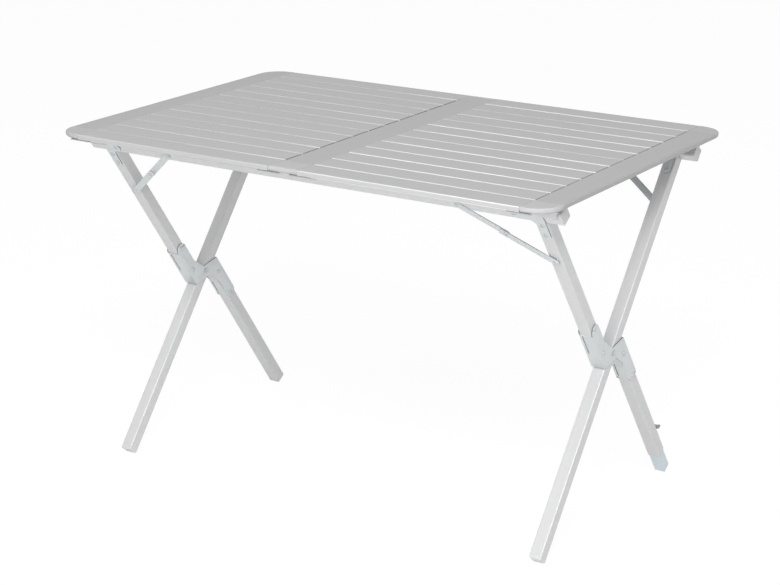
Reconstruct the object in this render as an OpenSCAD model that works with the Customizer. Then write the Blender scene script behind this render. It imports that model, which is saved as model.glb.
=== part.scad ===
// Roll-top camp table: two roll-up slat mats between three cross bars, on a folding X frame.
// The origin is on the floor under the middle of the top. X runs along the table and +Z is up.
// The front is -Y. Each half of the frame is flat in its own leaning plane.

/* [Table top] */
// Length of the table top over the end bars
top_l = 1086; // [900:2:1300]
// Height of the table top above the floor
top_h = 690; // [640:5:740]
// Slats in each mat, from front to back
slat_count = 13; // [11:1:15]
// Width of one slat
slat_w = 52; // [46:1:56]
// Thickness of one slat
slat_t = 10; // [8:0.5:13]
// Open gap between two slats
slat_gap = 2.4; // [2.2:0.1:4]
// Wall of the hollow slats
slat_wall = 0.8; // [0.7:0.1:1.4]
// Hollow cells side by side in a slat
slat_cells = 3; // [2:1:4]
// Radius along the long edges of the slats
slat_edge_r = 2; // [1.5:0.25:3.75]
// Gap between the left end of a slat and its bar
slat_gap_left = 0.5; // [0.4:0.1:2]
// Gap between the right end of the left mat and the centre bar
slat_gap_right = 2.5; // [0.5:0.1:4]
// Gap between the right end of the right mat and its end bar
slat_gap_end = 1.2; // [0.5:0.1:4]

/* [Cross bars] */
// Width of the centre bar
bar_w = 62; // [58:1:76]
// Width of the two end bars
end_bar_w = 56; // [54:1:70]
// Wall of the hollow cross bars
bar_wall = 1.2; // [1:0.1:2]
// Radius of the table's corners in plan, and length of a bar's end cap
corner_r = 48; // [30:1:52]
// Radius of the upper outer edges of the bars and caps
bar_edge_r = 2.5; // [2:0.25:4]
// Radius of the lower outer edges of the bars and caps
bar_under_r = 5.5; // [4:0.25:6]
// Radius of the bar edges that meet the slats
bar_inner_r = 0.8; // [0.5:0.1:2]
// Length of the cap tongues inside a bar
cap_tongue = 25; // [15:1:40]
// Reach of a ledge under the slat ends
ledge_reach = 27; // [12:1:32]
// Width of a ledge under its bar
ledge_root = 18; // [8:1:20]
// Thickness of a ledge
ledge_t = 2; // [1.5:0.1:3]
// Length of a rail clip
clip_l = 40; // [24:1:44]
// Thickness of the skirt of a rail clip
skirt_t = 3; // [2:0.25:4]
// Depth of the skirt below the middle of the rail
skirt_drop = 3; // [0:0.5:8]

/* [Tubes and rails] */
// Width of the leg tubes along the table
tube_w = 25; // [22:0.5:28]
// Depth of the leg tubes and rails, square to the frame's plane
tube_d = 24; // [20:0.5:25]
// Height of the rails in the frame's plane
rail_h = 25; // [22:0.5:28]
// Wall of the tubes and rails
wall = 1.5; // [1.2:0.1:1.8]
// Outer corner radius of the tubes and rails
tube_r = 2; // [1.9:0.1:3]
// Distance of the rails' middle from the long edges of the top
rail_set_back = 90.4; // [70:0.2:120]
// Distance of the rails' ends from the ends of the top
rail_inset = 18; // [14:1:24]
// Thickness of a rail's end cap
rail_cap_t = 3; // [2:0.5:4]
// Room above the highest corner of the rails
rail_room = 1.8; // [1:0.1:4]
// Distance of the legs' middle from the ends of the top
leg_inset = 63; // [56:1:90]
// Gap between the top of a leg and its rail
leg_gap = 0.5; // [0.2:0.1:2]

/* [Crossing] */
// Height of the crossing pivot above the floor
hub_h = 329; // [300:1:360]
// Distance of the split leg's two tubes from the pivot
hub_offset = 27.5; // [27:0.25:32]
// End gap of the split tubes, measured along the leg from the pivot
hub_clear = 18; // [16:0.5:24]
// Reach of the hub bracket along each split tube
hub_reach = 112; // [110:1:140]
// Distance of the inner hub rivets from the pivot
hub_rivet_in = 35; // [31:1:50]
// Distance of the outer hub rivets from the pivot
hub_rivet_out = 104; // [80:1:106]
// Distance of the bracket's inner corners from the pivot, along the leg
hub_shoulder = 50; // [44:1:60]
// Height of the bracket's edge over the pivot
hub_throat = 14.5; // [12:0.5:18]
// Start of the bracket's inner webs, at the top of their arch
hub_inner_web = 30; // [28:1:40]
// Start of the seams in the inner webs
hub_inner_seam = 59; // [50:1:66]
// Radius of the relief holes in the inner webs
relief_r = 1.5; // [1:0.25:2]
// Distance of the relief holes from the pivot, along the leg
relief_at = 54.5; // [50:0.5:60]
// Distance of the bracket's webs from its rounded ends
hub_web_end = 15; // [12:1:24]
// Width of the seams in the bracket's webs
seam_w = 1.8; // [0.8:0.1:2]
// Distance of the seams from the middle of the leg
seam_x = 8; // [5:0.5:9]
// Solid web left at each end of a seam
seam_end = 3; // [2:0.5:6]
// Thickness of the stamped steel plates
plate_t = 1.6; // [1.2:0.1:2]
// Radius of the crossing pivot
pivot_r = 4; // [3:0.25:4.5]
// Radius of the crossing pivot's heads
pivot_head_r = 5.5; // [5:0.25:9]
// Play between the hub bracket and what turns in it
hub_play = 0.3; // [0.25:0.05:0.5]

/* [Leg hinges] */
// Width of the hinge plates
hinge_w = 19; // [16:0.5:20]
// Set-in of the left legs' fold pivots
left_arm = 20; // [18:1:34]
// Set-in of the right legs' fold pivots, which fold under the left ones
right_arm = 50; // [48:1:70]
// Distance of the upper leg rivet below the rail's middle
hinge_rivet_high = 21; // [19:0.5:26]
// Distance of the lower leg rivet below the rail's middle
hinge_rivet_low = 46; // [38:0.5:60]
// Inner bend radius of the hinge plates
hinge_fillet = 13; // [4:0.5:13]
// Radius of the outer top corner of the hinge plates
hinge_corner = 16; // [8:0.5:18]
// Radius of the rivets
rivet_r = 2.5; // [2:0.1:2.8]
// Radius of the rivet heads
rivet_head_r = 4.5; // [3.5:0.1:5]
// Height of the rivet heads
rivet_head_t = 1.4; // [1:0.1:2]
// Height of the flat rivet heads on the inner side
flush_head_t = 0.5; // [0.3:0.1:0.6]

/* [Folding stays] */
// Width of a stay link
stay_w = 13; // [11:0.5:14]
// Thickness of a stay link
stay_t = 2; // [1.5:0.1:2.5]
// Distance of the left stays' leg pivot below the rail's middle
left_stay_drop = 129; // [100:1:160]
// Distance of the right stays' leg pivot below the rail's middle
right_stay_drop = 115; // [100:1:160]
// Distance of the left stays' rail pivot from the leg
left_stay_reach = 148; // [120:1:180]
// Distance of the right stays' rail pivot from the leg
right_stay_reach = 164; // [120:1:180]
// Length of a link past its pivots
stay_end = 6.5; // [5:0.5:8]
// Length of the lower links past the elbow
stay_lap = 12; // [6:0.5:18]

/* [Feet] */
// Thickness of the plain feet
foot_t = 7; // [6:0.5:9]
// Radius around the lower edges of the plain feet
foot_round = 4.5; // [2:0.25:5]
// Length of the plugs inside the tubes
plug_l = 18; // [10:1:30]
// End of the adjustable leg's outer tube, from the crossing
foot_tube_end = 357; // [340:1:370]
// Top of the sliding foot, from the crossing
foot_top = 236; // [220:1:250]
// Chamfer around the tip of the sliding foot
foot_chamfer = 5; // [3:0.5:7]
// Place of the lock screw, from the crossing
screw_at = 297; // [285:1:305]
// Radius of the lock screw
screw_r = 3; // [2.5:0.25:4]
// Radius of the lock screw's hub
screw_hub_r = 6; // [4.5:0.25:8]
// Span of the lock screw's wings
wing_span = 29; // [20:1:32]
// Thickness of the lock screw's wings
wing_t = 5; // [3:0.25:6]
// Height of the lock screw's head
wing_h = 14.5; // [9:0.5:17]

/* [Clearances] */
// Radial clearance of rivets, pivots and screws
fit = 0.05; // [0.03:0.01:0.08]
// Clearance of plugs and tongues, each side
plug_play = 0.1; // [0.05:0.05:0.2]
// Clearance of sliding and resting pieces
seat = 0.3; // [0.25:0.05:0.5]

/* [Hidden] */
$fn = 48;
SIDES = [-1, 1];
over = 1;
alu = "#c8cacc";
steel = "#bdc6c8";
pale_plastic = "#d2d4d6";
grey_plastic = "#75777a";

// Table top
pitch = slat_w + slat_gap;
top_w = slat_count * pitch - slat_gap;
bar_t = slat_t + seat;
bar_under = top_h - bar_t;
ledge_under = bar_under - ledge_t;
bar_x = top_l / 2 - end_bar_w / 2;
bar_straight = top_w - 2 * corner_r;
bar_cells = 3;
function bar_cell_w(w) = (w - 2 * bar_under_r - (bar_cells - 1) * bar_wall) / bar_cells;
bar_cell_h = bar_t - 2 * bar_wall;
slat_cell_w = (slat_w - 2 * slat_edge_r - (slat_cells - 1) * slat_wall) / slat_cells;
function gap_right(side) = side < 0 ? slat_gap_right : slat_gap_end;
function cap_lip(side) = max(0, gap_right(side) - slat_gap_left);
function mat_l(side) = top_l / 2 - end_bar_w - bar_w / 2 - slat_gap_left - gap_right(side);

// Frame planes
rail_y = top_w / 2 - rail_set_back;
rail_l = top_l - 2 * rail_inset - 2 * rail_cap_t;
leg_x = top_l / 2 - leg_inset;
clip_x = rail_l / 2 - clip_l / 2 - rail_cap_t;
rail_z = ledge_under - rail_room - norm([tube_d, rail_h]) / 2;
rail_reach = norm([rail_y, rail_z - hub_h]);
back_lean = atan2(rail_y, rail_z - hub_h);
front_lean = back_lean - asin(hub_offset / rail_reach);
upper_run = sqrt(rail_reach * rail_reach - hub_offset * hub_offset);
leg_top = -rail_h / 2 - leg_gap;
lower_y = 2 * hub_offset;

// Where a tube's lower edge meets the floor, from the rail's middle along the leg
function floor_run(lean, edge) = (rail_z + edge * sin(lean)) / cos(lean);
function rounded_off(lean) = foot_round * (1 + tan(lean) - 1 / cos(lean));
back_run = floor_run(back_lean, -tube_d / 2) + rounded_off(back_lean);
front_run = floor_run(front_lean, lower_y - tube_d / 2) + rounded_off(front_lean);
cross_w = tube_w - 2 * hub_play;
slide_w = tube_w - 2 * wall - 2 * seat;
slide_d = tube_d - 2 * wall - 2 * seat;
slide_run = floor_run(front_lean, lower_y - slide_d / 2 + foot_chamfer);

// Folding hardware
face = tube_d / 2;
plate_top = rail_h / 2 - tube_r;
stay_stack = 2 * stay_t + fit;
function arm(side) = side < 0 ? left_arm : right_arm;
function stay_reach(side) = side < 0 ? left_stay_reach : right_stay_reach;
function fold_pivot(side) = [side * (leg_x - arm(side)), 0];
function stay_rail(side) = [side * (leg_x - stay_reach(side)), 0];
function stay_leg(side) = [side * leg_x, side < 0 ? -left_stay_drop : -right_stay_drop];
function stay_elbow(side) = (stay_rail(side) + stay_leg(side)) / 2;
function hinge_rivets(side) = [for (z = [hinge_rivet_high, hinge_rivet_low]) [side * leg_x, -z]];

LEFT_SLATS = [for (k = [1 : slat_count]) str("left_slat_", k)];
RIGHT_SLATS = [for (k = [1 : slat_count]) str("right_slat_", k)];

// Plane of the front rail and the split legs: -y is the outer face, z runs up the leg
module front_plane() {
    translate([0, -rail_y, rail_z]) rotate([front_lean, 0, 0]) children();
}

// Plane of the back rail and the straight legs, laid out like the front one
module back_plane() {
    translate([0, rail_y, rail_z]) rotate([-back_lean, 0, 0]) mirror([0, 1, 0]) children();
}

// Draws a (y, z) outline along X
module along_x(length) {
    rotate([90, 0, 90]) linear_extrude(height = length, center = true) children();
}

// Draws an (x, z) outline as a plate whose inner face is at y and which is t thick outwards
module plate_at(y, t) {
    translate([0, y, 0]) rotate([90, 0, 0]) linear_extrude(height = t) children();
}

// Places a shape that stands up from z = 0 so that it points outwards from (x, z) at y
module outwards(place, y) {
    translate([place.x, y, place.y]) rotate([90, 0, 0]) children();
}

module round_rect(w, h, r) {
    square([w - 2 * r, h], center = true);
    square([w, h - 2 * r], center = true);
    for (sx = SIDES, sy = SIDES)
        translate([sx * (w / 2 - r), sy * (h / 2 - r)]) circle(r = r);
}

module tube_section(w, h) {
    difference() {
        round_rect(w, h, tube_r);
        square([w - 2 * wall, h - 2 * wall], center = true);
    }
}

module leg_tube(w, from, to) {
    translate([0, 0, to]) linear_extrude(height = from - to) tube_section(w, tube_d);
}

module hole_out(place, r, depth) {
    outwards(place, depth / 2) cylinder(r = r + fit, h = depth);
}

module hole_across(y, z, r) {
    translate([0, y, z]) rotate([0, 90, 0])
        cylinder(r = r + fit, h = tube_w + 4 * plate_t, center = true);
}

// Domed head that stands up from z = 0
module dome(r, h) {
    ball_r = (r * r + h * h) / (2 * h);
    intersection() {
        translate([0, 0, h - ball_r]) sphere(r = ball_r);
        cylinder(r = r + over, h = h + over);
    }
}

module rivet_head() {
    dome(rivet_head_r, rivet_head_t);
}

// Rivet through a whole tube and the plates on both faces
module through_rivet(place) {
    half = face + plate_t;
    outwards(place, half) {
        cylinder(r = rivet_r, h = 2 * half);
        translate([0, 0, 2 * half]) rivet_head();
        translate([0, 0, -flush_head_t]) cylinder(r = rivet_head_r, h = flush_head_t);
    }
}

// Blind rivet in the outer wall of a tube, holding what lies up to stack above it
module blind_rivet(place, stack) {
    outwards(place, -face + wall + rivet_head_t) {
        cylinder(r = rivet_r + wall / 2, h = rivet_head_t);
        cylinder(r = rivet_r, h = rivet_head_t + wall + stack);
        translate([0, 0, rivet_head_t + wall + stack]) rivet_head();
    }
}

module rail(colour) {
    color(colour) difference() {
        along_x(rail_l) tube_section(tube_d, rail_h);
        for (side = SIDES) {
            hole_out(fold_pivot(side), rivet_r, tube_d + 2 * over);
            outwards(stay_rail(side), -face + wall + over)
                cylinder(r = rivet_r + fit, h = wall + 2 * over);
        }
    }
}

module rail_caps() {
    tongue_y = tube_d - 2 * wall - 2 * plug_play;
    tongue_z = rail_h - 2 * wall - 2 * plug_play;
    color(pale_plastic) for (side = SIDES) {
        translate([side * (rail_l + rail_cap_t) / 2, 0, 0])
            along_x(rail_cap_t) round_rect(tube_d, rail_h, tube_r);
        translate([side * (rail_l - plug_l) / 2, 0, 0])
            along_x(plug_l) square([tongue_y, tongue_z], center = true);
    }
}

// Outline of a hinge plate: x runs from the leg's middle towards the table's middle
module hinge_outline(reach) {
    half = hinge_w / 2;
    bend = min(hinge_fillet, reach - half);
    translate([0, -hinge_rivet_low]) circle(r = half);
    translate([-half, -hinge_rivet_low])
        square([hinge_w, hinge_rivet_low + plate_top - hinge_corner]);
    translate([-half + hinge_corner, plate_top - hinge_corner]) intersection() {
        circle(r = hinge_corner);
        translate([-hinge_corner, 0]) square(hinge_corner);
    }
    translate([-half + hinge_corner, -half])
        square([reach + half - hinge_corner, half + plate_top]);
    translate([reach, 0]) circle(r = half);
    translate([half, -half - bend]) difference() {
        square(bend);
        translate([bend, 0]) circle(r = bend);
    }
}

// Pair of hinge plates of one leg, on the outer and the inner face
module hinge_plates(side) {
    color(steel) for (y = [-face, face + plate_t])
        plate_at(y, plate_t) difference() {
            translate([side * leg_x, 0]) mirror([side > 0 ? 1 : 0, 0]) hinge_outline(arm(side));
            translate(fold_pivot(side)) circle(r = rivet_r + fit);
            for (place = hinge_rivets(side)) translate(place) circle(r = rivet_r + fit);
        }
}

// Outline of a flat link from one pivot to another, with a square end lap past the first one
module link_outline(a, b, lap) {
    span = b - a;
    translate(a) rotate(atan2(span.y, span.x)) difference() {
        union() {
            translate([-lap, -stay_w / 2]) square([norm(span) + lap, stay_w]);
            for (x = [0, norm(span)]) translate([x, 0]) circle(r = stay_end);
        }
        for (x = [0, norm(span)]) translate([x, 0]) circle(r = rivet_r + fit);
    }
}

// The upper link lies on the rail, and the lower link lies over it at the elbow
module stay_links() {
    color(steel) for (side = SIDES) {
        plate_at(-face, stay_t) link_outline(stay_rail(side), stay_elbow(side), 0);
        plate_at(-face - stay_t - fit, stay_t)
            link_outline(stay_elbow(side), stay_leg(side), stay_lap);
    }
}

module frame_rivets() {
    color(steel) for (side = SIDES) {
        for (place = concat([fold_pivot(side)], hinge_rivets(side))) through_rivet(place);
        blind_rivet(stay_rail(side), stay_t);
        blind_rivet(stay_leg(side), stay_stack);
        outwards(stay_leg(side), -face) cylinder(r = rivet_head_r, h = stay_t + fit);
        outwards(stay_elbow(side), -face) {
            translate([0, 0, -flush_head_t]) cylinder(r = rivet_head_r, h = flush_head_t);
            cylinder(r = rivet_r, h = stay_stack);
            translate([0, 0, stay_stack]) rivet_head();
        }
    }
}

// Holes that the leg hinge and the stay need in a leg
module leg_top_holes(side) {
    for (place = hinge_rivets(side)) hole_out(place, rivet_r, tube_d + 2 * over);
    outwards(stay_leg(side), -face + wall + over)
        cylinder(r = rivet_r + fit, h = wall + 2 * over);
}

module cross_leg(side) {
    color(alu) difference() {
        translate([side * leg_x, 0, 0]) leg_tube(cross_w, leg_top, foot_t - back_run);
        leg_top_holes(side);
        translate([side * leg_x, 0, 0]) hole_across(0, -rail_reach, pivot_r);
    }
}

module upper_leg(side) {
    color(alu) difference() {
        translate([side * leg_x, 0, 0]) leg_tube(tube_w, leg_top, hub_clear - upper_run);
        leg_top_holes(side);
        translate([side * leg_x, 0, -upper_run])
            for (b = [hub_rivet_in, hub_rivet_out]) hole_across(0, b, rivet_r);
    }
}

module lower_leg(side) {
    end = side < 0 ? foot_t - front_run : -upper_run - foot_tube_end;
    color(alu) translate([side * leg_x, lower_y, 0]) difference() {
        leg_tube(tube_w, -upper_run - hub_clear, end);
        for (b = [hub_rivet_in, hub_rivet_out]) hole_across(0, -upper_run - b, rivet_r);
        if (side > 0)
            translate([0, 0, -upper_run - screw_at]) rotate([-90, 0, 0])
                cylinder(r = screw_r + fit, h = tube_d);
    }
}

// Outline of a hub plate about the pivot: y across the legs, z along them
module hub_outline() {
    end_r = face + plate_t;
    outer = hub_offset + end_r;
    inner = hub_offset - end_r;
    arm_l = hub_reach - end_r;
    half = [
        [-outer, arm_l], [-inner, arm_l], [-inner, hub_shoulder],
        [0, hub_throat], [outer, -2 * plate_t]
    ];
    polygon(concat(half, [for (p = half) -p]));
    for (s = SIDES) translate([-s * hub_offset, s * arm_l]) circle(r = end_r);
}

// Web between the two plates of a hub, with its far face at y, up to z = to and with an open seam
module hub_web(y, to, open) {
    plate_at(y + plate_t, plate_t) difference() {
        children();
        translate([-seam_x - seam_w / 2, open]) square([seam_w, to - seam_end - open]);
    }
}

module hub_bracket(side) {
    outer = hub_offset + face + plate_t;
    inner = hub_offset - face;
    web_to = hub_reach - hub_web_end;
    half_w = tube_w / 2 + plate_t;
    arch_z = hub_inner_web + half_w;
    color(steel) translate([side * leg_x, hub_offset, -upper_run]) {
        for (x = SIDES) difference() {
            translate([x * (tube_w + plate_t) / 2, 0, 0]) along_x(plate_t) hub_outline();
            hole_across(0, 0, pivot_r);
            for (s = SIDES, b = [hub_rivet_in, hub_rivet_out])
                hole_across(-s * hub_offset, s * b, rivet_r);
        }
        for (turn = [0, 180]) rotate([turn, 0, 0]) {
            hub_web(-outer, web_to, hub_shoulder - 2 * seam_end)
                translate([-half_w, 2 * plate_t]) square([2 * half_w, web_to - 2 * plate_t]);
            hub_web(-inner, web_to, hub_inner_seam) difference() {
                union() {
                    translate([-half_w, arch_z]) square([2 * half_w, web_to - arch_z]);
                    translate([0, arch_z]) circle(r = half_w);
                }
                translate([tube_w / 2 - relief_r, relief_at]) circle(r = relief_r);
            }
        }
    }
}

// Pin across a leg with a head on both ends
module cross_pin(r, head_r, head_t, grip) {
    rotate([0, 90, 0]) {
        cylinder(r = r, h = grip, center = true);
        for (turn = [0, 180])
            rotate([turn, 0, 0]) translate([0, 0, grip / 2]) dome(head_r, head_t);
    }
}

module hub_rivet_set() {
    color(steel) for (side = SIDES, s = SIDES, b = [hub_rivet_in, hub_rivet_out])
        translate([side * leg_x, hub_offset - s * hub_offset, s * b - upper_run])
            cross_pin(rivet_r, rivet_head_r, rivet_head_t, tube_w + 2 * plate_t);
}

module hub_pivot_set() {
    color(steel) for (side = SIDES)
        translate([side * leg_x, 0, -rail_reach])
            cross_pin(pivot_r, pivot_head_r, rivet_head_t, tube_w + 2 * plate_t + 2 * seat);
}

// Outline of a plain foot seen from one side, with rounded lower corners and room above
module foot_trim(w) {
    translate([-w / 2, -foot_t + foot_round]) square([w, foot_t]);
    translate([-w / 2 + foot_round, -foot_t]) square([w - 2 * foot_round, foot_round]);
    for (s = SIDES) translate([s * (w / 2 - foot_round), -foot_t + foot_round]) circle(r = foot_round);
}

// Plain foot that closes a tube whose lower end is at z
module foot_plug(w, z) {
    color(pale_plastic) translate([0, 0, z]) {
        intersection() {
            translate([0, 0, -foot_t]) linear_extrude(height = foot_t) round_rect(w, tube_d, tube_r);
            along_x(tube_w) foot_trim(tube_d);
            rotate([90, 0, 0]) linear_extrude(height = tube_d, center = true) foot_trim(w);
        }
        translate([0, 0, plug_l / 2])
            cube([w - 2 * wall - 2 * plug_play, tube_d - 2 * wall - 2 * plug_play, plug_l], center = true);
    }
}

// Outline of the sliding foot seen from one side, with its tip at the origin
module slide_outline(w, length) {
    half = w / 2;
    tip = half - foot_chamfer;
    polygon([
        [-tip, 0], [tip, 0], [half, foot_chamfer],
        [half, length], [-half, length], [-half, foot_chamfer]
    ]);
}

module adjustable_foot() {
    length = slide_run - upper_run - foot_top;
    color(pale_plastic) translate([leg_x, lower_y, -slide_run]) intersection() {
        rotate([90, 0, 0]) linear_extrude(height = tube_d, center = true) slide_outline(slide_w, length);
        along_x(tube_w) slide_outline(slide_d, length);
    }
}

module foot_lock_screw() {
    reach = (tube_d - slide_d) / 2 - seat;
    color(grey_plastic)
        translate([leg_x, lower_y + slide_d / 2 + seat, -upper_run - screw_at]) rotate([-90, 0, 0]) {
            cylinder(r = screw_r, h = reach + wing_h);
            translate([0, 0, reach + seat]) {
                cylinder(r = screw_hub_r, h = wing_h);
                translate([0, 0, wing_h / 4]) linear_extrude(height = wing_h * 3 / 4)
                    round_rect(wing_span, wing_t, wing_t / 3);
            }
        }
}

// Side of a board's section: its edge is at x = 0, with one radius at the top and one at the bottom
module board_side(reach, t, over, under) {
    translate([over, -over]) circle(r = over);
    translate([under, under - t]) circle(r = under);
    translate([0, under - t]) square([reach, t - over - under]);
    translate([over, -over]) square([reach - over, over]);
    translate([under, -t]) square([reach - under, under]);
}

// Section of a board from x = 0 to w with its own edge radius on each side, and its top at z = 0
module board_section(w, t, r_low, r_high) {
    for (e = [[0, r_low], [1, r_high]])
        translate([e.x * w, 0]) mirror([e.x, 0, 0])
            board_side(0.6 * w, t, e.y, e.y < bar_edge_r ? e.y : bar_under_r);
}

// Hollow cells of a bar or a slat, centred across its width
module cells(count, w, h, web) {
    for (i = [0 : count - 1])
        translate([(i - (count - 1) / 2) * (w + web), 0]) square([w, h], center = true);
}

module bar(x, w, r_low, r_high) {
    color(alu) translate([x, 0, top_h]) rotate([90, 0, 0])
        linear_extrude(height = bar_straight, center = true) difference() {
            translate([-w / 2, 0]) board_section(w, bar_t, r_low, r_high);
            translate([0, -bar_t / 2]) cells(bar_cells, bar_cell_w(w), bar_cell_h, bar_wall);
        }
}

// Tongues of a cap at the front end of a bar that is w wide
module cap_tongues(w) {
    play = 2 * plug_play;
    translate([0, -bar_straight / 2 + cap_tongue, top_h - bar_t / 2]) rotate([90, 0, 0])
        linear_extrude(height = cap_tongue)
            cells(bar_cells, bar_cell_w(w) - play, bar_cell_h - play, bar_wall + play);
}

// Part of a cap with a straight front edge, from x = from to x = to
module cap_block(from, to) {
    translate([(from + to) / 2, -top_w / 2, top_h])
        along_x(to - from) board_section(corner_r, bar_t, bar_edge_r, 0.01);
}

// Cap of an end bar, at the front right, with a lip that narrows the gap beside the first slat
module corner_cap(lip) {
    translate([bar_x, 0, 0]) cap_tongues(end_bar_w);
    cap_block(top_l / 2 - end_bar_w - lip, top_l / 2 - corner_r);
    translate([top_l / 2 - corner_r, corner_r - top_w / 2, top_h])
        rotate([0, 0, -90]) rotate_extrude(angle = 90)
            intersection() {
                translate([-corner_r, 0]) board_section(2 * corner_r, bar_t, bar_edge_r, bar_edge_r);
                translate([0, -bar_t]) square([corner_r, bar_t]);
            }
}

module end_bar_cap_set() {
    color(pale_plastic) for (mx = [0, 1], my = [0, 1])
        mirror([mx, 0, 0]) mirror([0, my, 0]) corner_cap(mx == 0 ? cap_lip(1) : 0);
}

module centre_bar_cap_set() {
    color(pale_plastic) for (my = [0, 1]) mirror([0, my, 0]) {
        cap_tongues(bar_w);
        cap_block(-bar_w / 2 - cap_lip(-1), bar_w / 2);
    }
}

// Ledges under the bars that carry the ends of the slats
module slat_ledge_set() {
    length = top_w - 2 * bar_inner_r;
    end = top_l / 2 - end_bar_w;
    edges = [[-end, 1], [-bar_w / 2, -1], [bar_w / 2, 1], [end, -1]];
    color(alu) for (e = edges)
        translate([e.x + e.y * (ledge_reach - ledge_root) / 2, 0, bar_under - ledge_t / 2])
            cube([ledge_reach + ledge_root, length, ledge_t], center = true);
}

// Outline of a rail clip: w runs outwards from the rail's middle, z is the height
module clip_outline(lean) {
    nose_w = face * cos(lean) + rail_h / 2 * sin(lean);
    nose_z = rail_z - face * sin(lean) + rail_h / 2 * cos(lean);
    crest_w = nose_w - tube_d * cos(lean);
    crest_z = nose_z + tube_d * sin(lean);
    lift = seat / cos(lean);
    inside = nose_w + 2 * seat;
    polygon([
        [inside + skirt_t, ledge_under], [inside + skirt_t, rail_z - skirt_drop],
        [inside, rail_z - skirt_drop], [inside, nose_z + lift - 2 * seat * tan(lean)],
        [crest_w, crest_z + lift], [crest_w, ledge_under]
    ]);
}

// Packing piece between a clip and its bar, beside the ledge, from x = from to x = to
module clip_pad(from, to, lean) {
    nose_w = face * cos(lean) + rail_h / 2 * sin(lean);
    translate([from, 0, ledge_under]) cube([to - from, nose_w + 2 * seat + skirt_t, ledge_t]);
}

module rail_clip_set() {
    middle = min(clip_l, bar_w - 2 * ledge_root - 2 * seat) / 2;
    inner = top_l / 2 - end_bar_w + ledge_root + seat;
    outer = clip_x + clip_l / 2;
    color(pale_plastic) for (back = [0, 1]) {
        lean = back == 1 ? back_lean : front_lean;
        mirror([0, 1 - back, 0]) translate([0, rail_y, 0]) {
            for (x = [-clip_x, 0, clip_x]) translate([x, 0, 0]) along_x(clip_l) clip_outline(lean);
            clip_pad(-middle, middle, lean);
            clip_pad(inner, outer, lean);
            clip_pad(-outer, -inner, lean);
        }
    }
}

// One slat of a mat; slat 1 is at the front
module slat(side, k) {
    from = side < 0 ? -top_l / 2 + end_bar_w : bar_w / 2;
    y = -top_w / 2 + slat_w / 2 + (k - 1) * pitch;
    color(alu) translate([from + slat_gap_left + mat_l(side) / 2, y, top_h - slat_t / 2])
        along_x(mat_l(side)) difference() {
            round_rect(slat_w, slat_t, slat_edge_r);
            cells(slat_cells, slat_cell_w, slat_t - 2 * slat_wall, slat_wall);
        }
}

back_plane() rail(alu);  // back_rail
back_plane() rail_caps();  // back_rail_caps
back_plane() hinge_plates(-1);  // left_back_hinge_plates
back_plane() hinge_plates(1);  // right_back_hinge_plates
back_plane() cross_leg(-1);  // left_cross_leg
back_plane() cross_leg(1);  // right_cross_leg
back_plane() stay_links();  // back_stay_links
back_plane() frame_rivets();  // back_frame_rivets
back_plane() hub_pivot_set();  // hub_pivots
back_plane() for (side = SIDES) translate([side * leg_x, 0, 0]) foot_plug(cross_w, foot_t - back_run);  // front_feet
front_plane() rail(alu);  // front_rail
front_plane() rail_caps();  // front_rail_caps
front_plane() hinge_plates(-1);  // left_front_hinge_plates
front_plane() hinge_plates(1);  // right_front_hinge_plates
front_plane() upper_leg(-1);  // left_upper_leg
front_plane() upper_leg(1);  // right_upper_leg
front_plane() lower_leg(-1);  // left_lower_leg
front_plane() lower_leg(1);  // right_lower_leg
front_plane() hub_bracket(-1);  // left_hub_bracket
front_plane() hub_bracket(1);  // right_hub_bracket
front_plane() hub_rivet_set();  // hub_rivets
front_plane() stay_links();  // front_stay_links
front_plane() frame_rivets();  // front_frame_rivets
front_plane() translate([-leg_x, lower_y, 0]) foot_plug(tube_w, foot_t - front_run);  // left_back_foot
front_plane() adjustable_foot();
front_plane() foot_lock_screw();
bar(-bar_x, end_bar_w, bar_edge_r, bar_inner_r);  // left_end_bar
bar(0, bar_w, bar_inner_r, bar_inner_r);  // centre_bar
bar(bar_x, end_bar_w, bar_inner_r, bar_edge_r);  // right_end_bar
end_bar_cap_set();  // end_bar_caps
centre_bar_cap_set();  // centre_bar_caps
slat_ledge_set();  // slat_ledges
rail_clip_set();  // rail_clips
for (k = [1 : slat_count]) {
    slat(-1, k);
    slat(1, k);
}
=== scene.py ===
"""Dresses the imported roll-top camp table with finishes and small hardware, and sets up its studio.

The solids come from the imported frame, in metres. X runs along the table, the front is -Y, +Z is up.
New hardware is sized in millimetres, in the plane of the frame half that carries it.
"""

import logging
import math
from dataclasses import dataclass, field
from enum import Enum
from typing import Callable, Iterable

import bpy
from mathutils import Matrix, Vector


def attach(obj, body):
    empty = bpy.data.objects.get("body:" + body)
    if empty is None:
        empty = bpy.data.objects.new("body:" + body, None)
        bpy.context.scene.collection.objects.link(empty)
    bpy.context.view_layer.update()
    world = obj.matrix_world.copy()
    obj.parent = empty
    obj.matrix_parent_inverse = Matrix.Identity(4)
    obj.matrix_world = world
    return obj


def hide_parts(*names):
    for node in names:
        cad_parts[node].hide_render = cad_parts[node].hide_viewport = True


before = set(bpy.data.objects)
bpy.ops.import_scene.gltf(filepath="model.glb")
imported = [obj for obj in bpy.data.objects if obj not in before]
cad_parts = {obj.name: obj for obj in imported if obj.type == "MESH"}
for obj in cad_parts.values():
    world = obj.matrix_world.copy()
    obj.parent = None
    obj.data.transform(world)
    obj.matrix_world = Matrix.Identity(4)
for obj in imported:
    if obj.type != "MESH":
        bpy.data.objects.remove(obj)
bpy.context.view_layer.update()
MM = 0.001
SIDES = (-1, 1)
WHITE = (1.0, 1.0, 1.0, 1.0)
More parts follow.
